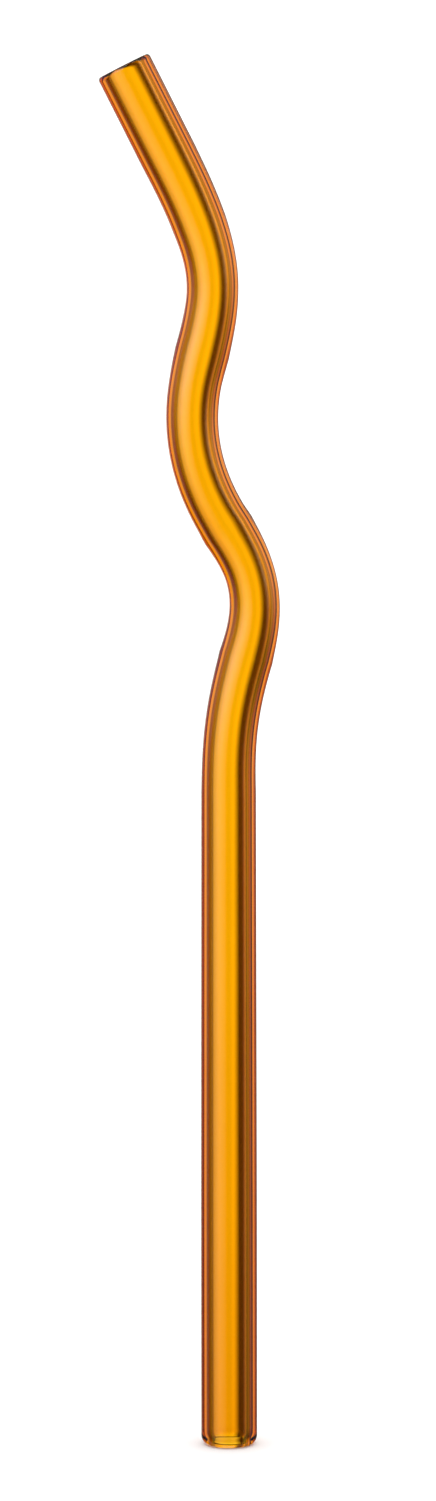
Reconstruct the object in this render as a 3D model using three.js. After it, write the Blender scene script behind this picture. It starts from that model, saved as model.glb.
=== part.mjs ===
// A wavy glass drinking straw: one hollow tube, open at both ends, with fire-polished lips.
// Millimetres, +Z up. The origin is the centre of the lower end. The straight lower half runs up
// the Z axis, and the wave above it lies in the XZ plane.
//
// The tube is made as a glass bender makes it: turned straight first, then bent along its centreline.
import * as THREE from 'three';

const TUBE_LENGTH = 205; // lip to lip along the centreline
const OUTER_RADIUS = 4.08;
const BORE_RADIUS = 2.6;
const SIDES = 24; // facets round the tube

// Each bend turns the centreline towards +X (positive degrees) or -X over its length. Bends overlap
// where the hot glass ran from one curve straight into the next.
const BENDS = [
  { start: 95.9, length: 20.5, turn: 15.3 },
  { start: 115.4, length: 21.5, turn: -52 },
  { start: 128.4, length: 41.5, turn: 60.9 },
  { start: 156.9, length: 23, turn: -35.4 },
  { start: 166.9, length: 24, turn: -15.6 },
];
const FLATTENING = 0.16; // how much a bend narrows the section in its own plane
const BULGE = 0.5; // share of that narrowing that comes back as width across the plane

// Drawing the wave out of hot glass leaves the tube a little thinner there.
const NECKING = { share: 0.035, start: 20, full: 120, end: 165, over: 190 };

// Each lip: how far the outer rounding reaches along and across the wall, the radius of the inner
// rounding, the mouth's radius, and the length over which the bore opens out from the mouth.
const LOWER_LIP = { along: 1.4, across: 1.1, inner: 0.5, mouth: 2.3, flare: 1.8, steps: 6 };
const UPPER_LIP = { along: 0.6, across: 0.45, inner: 0.8, mouth: 2.6, flare: 1.2, steps: 4 };
const INNER_STEPS = 3;

const STRAIGHT_STEP = 20;
const WAVE_STEP = 2.4;
const CENTRELINE_STEP = 0.2;

function ease(share) {
  return THREE.MathUtils.smoothstep(share, 0, 1);
}

function headingAt(distance) {
  const degrees = BENDS.reduce(
    (sum, bend) => sum + bend.turn * ease((distance - bend.start) / bend.length), 0);
  return THREE.MathUtils.degToRad(degrees);
}

function curvatureAt(distance) {
  const half = CENTRELINE_STEP / 2;
  return (headingAt(distance + half) - headingAt(distance - half)) / CENTRELINE_STEP;
}

// The centreline's place in the XZ plane, found by walking up it in short straight steps.
function centreAt(distance) {
  const count = Math.max(1, Math.ceil(Math.abs(distance) / CENTRELINE_STEP));
  const step = distance / count;
  const place = new THREE.Vector3();
  for (let i = 0; i < count; i += 1) {
    const heading = headingAt((i + 0.5) * step);
    place.x += Math.sin(heading) * step;
    place.z += Math.cos(heading) * step;
  }
  return place;
}

// Scales of the section in the bend's plane and across it.
function sectionAt(distance) {
  const rise = ease((distance - NECKING.start) / (NECKING.full - NECKING.start));
  const fall = ease((distance - NECKING.end) / (NECKING.over - NECKING.end));
  const drawn = 1 - NECKING.share * (rise - fall);
  const flattened = FLATTENING * 2 * OUTER_RADIUS * Math.abs(curvatureAt(distance));
  return { inPlane: drawn * (1 - flattened), across: drawn * (1 + BULGE * flattened) };
}

// Distances along the wall between the two lips, close together in the wave and wide apart below it.
function wallStations() {
  const waveStart = BENDS[0].start;
  const lastBend = BENDS[BENDS.length - 1];
  const waveEnd = lastBend.start + lastBend.length;
  const below = Math.floor((waveStart - LOWER_LIP.flare) / STRAIGHT_STEP);
  const within = Math.round((waveEnd - waveStart) / WAVE_STEP);
  const stations = [];
  for (let i = 1; i < below; i += 1) stations.push(i * STRAIGHT_STEP);
  for (let i = 0; i <= within; i += 1) {
    stations.push(waveStart + ((waveEnd - waveStart) * i) / within);
  }
  return stations;
}

// One lip's outline from the outer wall round to the bore, at distance 0 with the tube above it.
function lipOutline(lip) {
  const outline = [];
  for (let i = 0; i <= lip.steps; i += 1) {
    const angle = (Math.PI / 2) * (i / lip.steps);
    const radius = OUTER_RADIUS - lip.across * (1 - Math.cos(angle));
    outline.push(new THREE.Vector2(radius, lip.along * (1 - Math.sin(angle))));
  }
  for (let i = 0; i <= INNER_STEPS; i += 1) {
    const angle = (Math.PI / 2) * (i / INNER_STEPS);
    const radius = lip.mouth + lip.inner * (1 - Math.sin(angle));
    outline.push(new THREE.Vector2(radius, lip.inner * (1 - Math.cos(angle))));
  }
  outline.push(new THREE.Vector2(BORE_RADIUS, lip.flare));
  return outline;
}

// The closed outline of the wall: up the outside, over the upper lip, down the bore, and back.
function wallOutline() {
  const stations = wallStations();
  const upperLip = lipOutline(UPPER_LIP).map((p) => new THREE.Vector2(p.x, TUBE_LENGTH - p.y));
  const outside = stations.map((distance) => new THREE.Vector2(OUTER_RADIUS, distance));
  const bore = stations.map((distance) => new THREE.Vector2(BORE_RADIUS, distance)).reverse();
  const lowerLip = lipOutline(LOWER_LIP).reverse();
  const outline = [...outside, ...upperLip, ...bore, ...lowerLip];
  outline.push(outside[0].clone());
  return outline;
}

// Bends a tube turned about Y: its Y becomes the centreline, its Z the wave's plane, its X world Y.
function bendAlongCentreline(geometry) {
  const position = geometry.getAttribute('position');
  const places = new Map();
  for (let i = 0; i < position.count; i += 1) {
    const distance = position.getY(i);
    if (!places.has(distance)) {
      places.set(distance, {
        centre: centreAt(distance), heading: headingAt(distance), section: sectionAt(distance) });
    }
    const { centre, heading, section } = places.get(distance);
    const sideways = position.getZ(i) * section.inPlane;
    position.setXYZ(
      i,
      centre.x + sideways * Math.cos(heading),
      position.getX(i) * section.across,
      centre.z - sideways * Math.sin(heading));
  }
  geometry.computeVertexNormals();
}

function glassTube() {
  const geometry = new THREE.LatheGeometry(wallOutline(), SIDES);
  bendAlongCentreline(geometry);
  const amberGlass = new THREE.MeshStandardMaterial({ color: 0xd98a12, roughness: 0.04, metalness: 0 });
  const tube = new THREE.Mesh(geometry, amberGlass);
  tube.name = 'glass_tube';
  return tube;
}

const straw = new THREE.Group();
straw.add(glassTube());

export default straw;
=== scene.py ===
import math

import bpy
from mathutils import Matrix, Vector


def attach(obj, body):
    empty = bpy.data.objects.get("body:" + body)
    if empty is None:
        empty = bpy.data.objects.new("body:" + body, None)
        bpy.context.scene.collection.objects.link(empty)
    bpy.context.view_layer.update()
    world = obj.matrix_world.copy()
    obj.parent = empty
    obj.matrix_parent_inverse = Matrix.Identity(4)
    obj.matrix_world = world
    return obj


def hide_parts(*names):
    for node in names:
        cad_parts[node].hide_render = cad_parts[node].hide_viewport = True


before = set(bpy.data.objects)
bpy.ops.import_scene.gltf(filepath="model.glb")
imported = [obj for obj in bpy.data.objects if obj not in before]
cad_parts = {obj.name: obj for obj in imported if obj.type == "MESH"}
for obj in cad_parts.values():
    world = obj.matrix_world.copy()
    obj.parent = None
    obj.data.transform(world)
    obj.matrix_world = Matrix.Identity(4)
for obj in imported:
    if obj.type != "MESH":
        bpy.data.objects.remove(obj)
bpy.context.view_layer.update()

MM = 0.001

# ---------------------------------------------------------------- the tube, as the CAD part has it
TUBE_LENGTH = 205.0
OUTER_RADIUS = 4.08
BORE_RADIUS = 2.6
# (start, length, turn): each bend turns the centreline towards +X (positive) or -X over its length.
BENDS = (
    (95.9, 20.5, 15.3),
    (115.4, 21.5, -52.0),
    (128.4, 41.5, 60.9),
    (156.9, 23.0, -35.4),
    (166.9, 24.0, -15.6),
)
# How much a bend narrows the section in its own plane, and the share of that which comes back as
# width across the plane.
FLATTENING = 0.16
BULGE = 0.5
# The drawn-out wave is thinner by this share, reached over the rise and given back over the fall.
NECKING_SHARE = 0.035
NECKING_RISE = (20.0, 120.0)
NECKING_FALL = (165.0, 190.0)
# Each lip: reach of the outer rounding along and across the wall, radius of the inner rounding,
# the mouth's radius, and the length over which the bore opens out.
LOWER_LIP = {"along": 1.4, "across": 1.1, "inner": 0.5, "mouth": 2.3, "flare": 1.8}
UPPER_LIP = {"along": 0.6, "across": 0.45, "inner": 0.8, "mouth": 2.6, "flare": 1.2}

SIDES = 96
WALL_STEP = 0.8
LIP_STEPS = 12
INNER_STEPS = 6
CENTRELINE_STEP = 0.05
CURVATURE_REACH = 0.1


def ease(share):
    share = min(1.0, max(0.0, share))
    return share * share * (3 - 2 * share)


def ease_between(value, low, high):
    return ease((value - low) / (high - low))


def heading_at(distance):
    """The centreline's lean towards +X, in radians, this far along it."""
    turns = (turn * ease((distance - start) / length) for start, length, turn in BENDS)
    return math.radians(sum(turns))


def curvature_at(distance):
    change = heading_at(distance + CURVATURE_REACH) - heading_at(distance - CURVATURE_REACH)
    return change / (2 * CURVATURE_REACH)


def walk_centreline():
    """Places along the centreline, (x, z), one for every CENTRELINE_STEP."""
    places = [(0.0, 0.0)]
    count = math.ceil(TUBE_LENGTH / CENTRELINE_STEP) + 1
    for i in range(count):
        heading = heading_at((i + 0.5) * CENTRELINE_STEP)
        x, z = places[-1]
        x += math.sin(heading) * CENTRELINE_STEP
        z += math.cos(heading) * CENTRELINE_STEP
        places.append((x, z))
    return places


CENTRELINE = walk_centreline()


def centre_at(distance):
    place = distance / CENTRELINE_STEP
    i = min(len(CENTRELINE) - 2, max(0, int(place)))
    share = place - i
    (x0, z0), (x1, z1) = CENTRELINE[i], CENTRELINE[i + 1]
    return x0 + (x1 - x0) * share, z0 + (z1 - z0) * share


def section_at(distance):
    """Scales of the section in the plane of the wave and across it."""
    necked = ease_between(distance, *NECKING_RISE) - ease_between(distance, *NECKING_FALL)
    drawn = 1 - NECKING_SHARE * necked
    flattened = FLATTENING * 2 * OUTER_RADIUS * abs(curvature_at(distance))
    return drawn * (1 - flattened), drawn * (1 + BULGE * flattened)


def lip_outline(lip):
    """(radius, distance) from the outer wall round to the bore, with the tube above distance 0."""
    outline = []
    for i in range(LIP_STEPS + 1):
        angle = math.pi / 2 * i / LIP_STEPS
        radius = OUTER_RADIUS - lip["across"] * (1 - math.cos(angle))
        outline.append((radius, lip["along"] * (1 - math.sin(angle))))
    for i in range(INNER_STEPS + 1):
        angle = math.pi / 2 * i / INNER_STEPS
        radius = lip["mouth"] + lip["inner"] * (1 - math.sin(angle))
        outline.append((radius, lip["inner"] * (1 - math.cos(angle))))
    for i in range(1, INNER_STEPS + 1):
        share = i / INNER_STEPS
        radius = lip["mouth"] + (BORE_RADIUS - lip["mouth"]) * ease(share)
        outline.append((radius, lip["inner"] + (lip["flare"] - lip["inner"]) * share))
    return outline


def wall_outline():
    """The wall's closed outline: up the outside, over the upper lip, down the bore, and back."""
    upper = [(radius, TUBE_LENGTH - distance) for radius, distance in lip_outline(UPPER_LIP)]
    lower = lip_outline(LOWER_LIP)[::-1]
    bottom = max(LOWER_LIP["along"], LOWER_LIP["flare"])
    top = TUBE_LENGTH - max(UPPER_LIP["along"], UPPER_LIP["flare"])
    count = round((top - bottom) / WALL_STEP)
    stations = [bottom + (top - bottom) * i / count for i in range(1, count)]
    outside = [(OUTER_RADIUS, distance) for distance in stations]
    bore = [(BORE_RADIUS, distance) for distance in reversed(stations)]
    return outside + upper + bore + lower


def bent(radius, distance, angle):
    """A point of the wall, in metres: angle 0 is the +X side of the wave's plane."""
    x, z = centre_at(distance)
    heading = heading_at(distance)
    in_plane, across = section_at(distance)
    sideways = radius * math.cos(angle) * in_plane
    x += sideways * math.cos(heading)
    z -= sideways * math.sin(heading)
    return Vector((x, radius * math.sin(angle) * across, z)) * MM


def lengths_round(outline):
    """How far round the closed outline each of its points is, from 0 to 1."""
    lengths = [0.0]
    for here, there in zip(outline, outline[1:] + outline[:1]):
        lengths.append(lengths[-1] + math.dist(here, there))
    return [length / lengths[-1] for length in lengths]


def add_straight_places(mesh, outline, angles):
    """Stores where each point was, in millimetres, on the straight tube before it was bent."""
    places = [
        (radius * math.cos(angle), radius * math.sin(angle), distance)
        for angle in angles
        for radius, distance in outline
    ]
    straight = mesh.attributes.new("straight_place", "FLOAT_VECTOR", "POINT")
    for point, place in zip(straight.data, places):
        point.vector = place


def glass_mesh():
    """The outline turned round the centreline, with UVs: round the tube, and round the outline."""
    outline = wall_outline()
    rows = len(outline)
    angles = [math.tau * side / SIDES for side in range(SIDES)]
    points = [bent(radius, distance, angle) for angle in angles for radius, distance in outline]
    lengths = lengths_round(outline)
    faces = []
    corners = []
    for side in range(SIDES):
        here = side * rows
        there = (side + 1) % SIDES * rows
        for row in range(rows):
            above = (row + 1) % rows
            faces.append((here + row, there + row, there + above, here + above))
            for across, up in ((0, 0), (1, 0), (1, 1), (0, 1)):
                corners.append(((side + across) / SIDES, lengths[row + up]))
    mesh = bpy.data.meshes.new("glass_tube_fine")
    mesh.from_pydata(points, [], faces)
    for corner, place in zip(mesh.uv_layers.new(name="round_and_along").data, corners):
        corner.uv = place
    add_straight_places(mesh, outline, angles)
    mesh.shade_smooth()
    return mesh


# ---------------------------------------------------------------- glass
# Scales are (across, along) the tube, per millimetre.
IOR = 1.47
AMBER = (0.994, 0.875, 0.0, 1)
AMBER_DEPTH = 2400.0
TINT_SCALE = (0.15, 0.04)
PALE_TINT = (1, 1, 1, 1)
DEEP_TINT = (0.97, 0.95, 0.9, 1)
HAZE_SCALE = (0.8, 0.3)
CLEAR = (0, 0, 0, 1)
HAZY = (0.06, 0.06, 0.06, 1)
LINE_SCALE = (0.9, 0.03)
LINE_DEPTH = 0.004 * MM


def noise_along_tube(nodes, links, scale, detail):
    """Noise that follows the tube round its bends."""
    across, along = scale
    place = nodes.new("ShaderNodeAttribute")
    place.attribute_name = "straight_place"
    stretch = nodes.new("ShaderNodeMapping")
    stretch.inputs["Scale"].default_value = (across, across, along)
    noise = nodes.new("ShaderNodeTexNoise")
    noise.inputs["Scale"].default_value = 1.0
    noise.inputs["Detail"].default_value = detail
    links.new(place.outputs["Vector"], stretch.inputs["Vector"])
    links.new(stretch.outputs["Vector"], noise.inputs["Vector"])
    return noise.outputs["Fac"]


def between(nodes, links, source, low, high):
    """A ramp from low to high over the middle half of the source's range."""
    ramp = nodes.new("ShaderNodeValToRGB")
    ramp.color_ramp.elements[0].position = 0.25
    ramp.color_ramp.elements[1].position = 0.75
    ramp.color_ramp.elements[0].color = low
    ramp.color_ramp.elements[1].color = high
    links.new(source, ramp.inputs["Fac"])
    return ramp.outputs["Color"]


def amber_glass():
    """Amber right through, with fine lines drawn out along it, a faint haze and an uneven tint."""
    material = bpy.data.materials.new("amber_glass")
    material.use_nodes = True
    nodes = material.node_tree.nodes
    links = material.node_tree.links
    shader = nodes["Principled BSDF"]
    shader.inputs["Transmission Weight"].default_value = 1.0
    shader.inputs["IOR"].default_value = IOR

    tint = noise_along_tube(nodes, links, TINT_SCALE, 2.0)
    links.new(between(nodes, links, tint, PALE_TINT, DEEP_TINT), shader.inputs["Base Color"])
    haze = noise_along_tube(nodes, links, HAZE_SCALE, 4.0)
    links.new(between(nodes, links, haze, CLEAR, HAZY), shader.inputs["Roughness"])

    lines = nodes.new("ShaderNodeBump")
    lines.inputs["Strength"].default_value = 1.0
    lines.inputs["Distance"].default_value = LINE_DEPTH
    links.new(noise_along_tube(nodes, links, LINE_SCALE, 3.0), lines.inputs["Height"])
    links.new(lines.outputs["Normal"], shader.inputs["Normal"])

    absorption = nodes.new("ShaderNodeVolumeAbsorption")
    absorption.inputs["Color"].default_value = AMBER
    absorption.inputs["Density"].default_value = AMBER_DEPTH
    links.new(absorption.outputs["Volume"], nodes["Material Output"].inputs["Volume"])
    return material


def add_glass_tube():
    tube = bpy.data.objects.new("glass_tube_fine", glass_mesh())
    bpy.context.scene.collection.objects.link(tube)
    tube.data.materials.append(amber_glass())
    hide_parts("glass_tube")
    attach(tube, "root")


# ---------------------------------------------------------------- studio
# The straw stands in a round tent of soft light that the camera sees through, lengths in metres.
# Bearings are degrees from straight behind the straw towards its right. Heights on the tent are
# given as degrees up from the middle of the floor. Each card of the tent is its colours at the
# three heights, low to high, then its stops, (bearing, brightness).
TENT_RADIUS = 1.5
TENT_REACH = 6.0
TENT_STEP = 1
RISES = (-20, -4, 12)
CARDS = {
    "backdrop": (
        ((0.8, 0.6, 0.5), (1.0, 1.0, 0.87), (1.05, 1.05, 0.9)),
        ((-38, 0), (-30, 0.3), (-22, 0.87), (-12, 1.05), (4, 1.17), (8, 0.4), (11, 0)),
    ),
    "left_strip": (
        ((0.45, 0.2, 0.07), (1.0, 0.52, 0.8), (1.6, 1.2, 1.9)),
        ((-66, 0), (-60, 0.32), (-46, 0.24), (-36, 0.28), (-30, 0)),
    ),
    "left_glow": (
        ((0.2, 0.3, 0.6), (0.35, 0.45, 0.9), (0.4, 0.5, 1.0)),
        ((-90, 0), (-82, 0.7), (-66, 0.7), (-58, 0)),
    ),
    "left_side": (
        ((0.3, 0.2, 0.03), (1.0, 0.7, 0.1), (1.3, 1.1, 0.3)),
        ((-118, 0), (-110, 0.5), (-86, 0.75), (-78, 0)),
    ),
    "right_flag": (
        ((0.15, 0.1, 0.1), (1.0, 0.62, 0.4), (2.1, 1.7, 1.1)),
        ((9, 0), (12, 0.01), (20, 0.12), (28, 0.42), (38, 0.56), (47, 0)),
    ),
    "right_strip": (
        ((0.2, 0.2, 0.3), (1.0, 0.9, 1.0), (1.1, 0.95, 1.0)),
        ((42, 0), (48, 0.44), (60, 0.5), (65, 0)),
    ),
    "right_glow": (
        ((0.2, 0.3, 0.6), (0.35, 0.45, 0.7), (0.9, 1.0, 1.4)),
        ((60, 0), (68, 0.6), (82, 0.6), (90, 0)),
    ),
    "right_side": (
        ((0.9, 0.45, 0.1), (1.0, 0.45, 0.3), (2.4, 1.6, 0.8)),
        ((82, 0), (90, 0.5), (100, 0.5), (110, 1.5), (124, 0)),
    ),
    "front_right": (
        ((0.8, 0.42, 0.03), (1.0, 0.46, 0.03), (1.0, 0.5, 0.03)),
        ((118, 0), (130, 0.3), (144, 0.8), (166, 0.8), (172, 0)),
    ),
    "front_softbox": (
        ((0.45, 0.25, 0.2), (1.0, 1.1, 0.65), (1.2, 1.4, 1.5)),
        ((188, 0), (202, 1.0), (220, 2.1), (235, 2.0), (250, 0.6), (260, 0)),
    ),
}


def brightness_at(stops, bearing):
    for (start, first), (end, last) in zip(stops, stops[1:]):
        if start <= bearing <= end:
            return first + (last - first) * (bearing - start) / (end - start)
    return 0.0


def tent_light(bearing, level):
    """The tent's colour at a bearing and at one of the three heights: the sum of its cards."""
    light = [0.0, 0.0, 0.0]
    for tints, stops in CARDS.values():
        brightness = max(brightness_at(stops, bearing), brightness_at(stops, bearing - 360))
        light = [total + share * brightness for total, share in zip(light, tints[level])]
    return (*light, 1.0)


def tent_material():
    material = bpy.data.materials.new("light_tent")
    material.use_nodes = True
    nodes = material.node_tree.nodes
    links = material.node_tree.links
    nodes.clear()
    light = nodes.new("ShaderNodeEmission")
    colour = nodes.new("ShaderNodeAttribute")
    colour.attribute_name = "light"
    output = nodes.new("ShaderNodeOutputMaterial")
    links.new(colour.outputs["Color"], light.inputs["Color"])
    links.new(light.outputs["Emission"], output.inputs["Surface"])
    return material


def add_light_tent():
    levels = [TENT_RADIUS * math.tan(math.radians(rise)) for rise in RISES]
    heights = [-TENT_REACH, *levels, TENT_REACH]
    points = []
    colours = []
    for bearing in range(0, 360, TENT_STEP):
        x = TENT_RADIUS * math.sin(math.radians(bearing))
        y = TENT_RADIUS * math.cos(math.radians(bearing))
        points.extend((x, y, height) for height in heights)
        low, middle, high = (tent_light(bearing, level) for level in range(len(RISES)))
        colours.extend((low, low, middle, high, high))
    faces = []
    for here in range(0, len(points), len(heights)):
        there = (here + len(heights)) % len(points)
        for row in range(len(heights) - 1):
            faces.append((here + row, there + row, there + row + 1, here + row + 1))
    mesh = bpy.data.meshes.new("light_tent")
    mesh.from_pydata(points, [], faces)
    light = mesh.color_attributes.new("light", "FLOAT_COLOR", "POINT")
    for point, colour in zip(light.data, colours):
        point.color = colour
    mesh.materials.append(tent_material())
    tent = bpy.data.objects.new("light_tent", mesh)
    bpy.context.scene.collection.objects.link(tent)
    tent.visible_camera = False
    tent.visible_diffuse = False
    tent.visible_shadow = False


FLOOR_REACH = 30.0
FLOOR_COLOUR = (0.9, 0.9, 0.9, 1)


def add_floor():
    corners = [(x * FLOOR_REACH, y * FLOOR_REACH, 0) for x, y in ((-1, -1), (1, -1), (1, 1), (-1, 1))]
    mesh = bpy.data.meshes.new("floor")
    mesh.from_pydata(corners, [], [(0, 1, 2, 3)])
    material = bpy.data.materials.new("floor")
    material.use_nodes = True
    shader = material.node_tree.nodes["Principled BSDF"]
    shader.inputs["Base Color"].default_value = FLOOR_COLOUR
    shader.inputs["Roughness"].default_value = 1.0
    mesh.materials.append(material)
    floor = bpy.data.objects.new("floor", mesh)
    bpy.context.scene.collection.objects.link(floor)
    floor.visible_transmission = False
    floor.visible_glossy = False


WORLD_COLOUR = (1, 1, 1, 1)
WORLD_STRENGTH = 1.4


def add_world():
    world = bpy.data.worlds.new("studio")
    world.use_nodes = True
    background = world.node_tree.nodes["Background"]
    background.inputs["Color"].default_value = WORLD_COLOUR
    background.inputs["Strength"].default_value = WORLD_STRENGTH
    bpy.context.scene.world = world


# ---------------------------------------------------------------- camera
CAMERA_PLACE = Vector((-1.514, -805.0, 195.4)) * MM
CAMERA_PITCH = math.radians(-6.627)
CAMERA_ROLL = math.radians(-0.065)
CAMERA_LENS = 135
CAMERA_SENSOR = 36


def add_camera():
    data = bpy.data.cameras.new("camera")
    data.lens = CAMERA_LENS
    data.sensor_width = CAMERA_SENSOR
    data.clip_start = 0.01
    data.clip_end = 100
    camera = bpy.data.objects.new("camera", data)
    bpy.context.scene.collection.objects.link(camera)
    pitch = Matrix.Rotation(math.pi / 2 + CAMERA_PITCH, 4, "X")
    roll = Matrix.Rotation(CAMERA_ROLL, 4, "Z")
    camera.matrix_world = Matrix.Translation(CAMERA_PLACE) @ pitch @ roll
    bpy.context.scene.camera = camera


add_camera()
add_glass_tube()
add_light_tent()
add_floor()
add_world()
bpy.context.scene.view_settings.view_transform = "Standard"
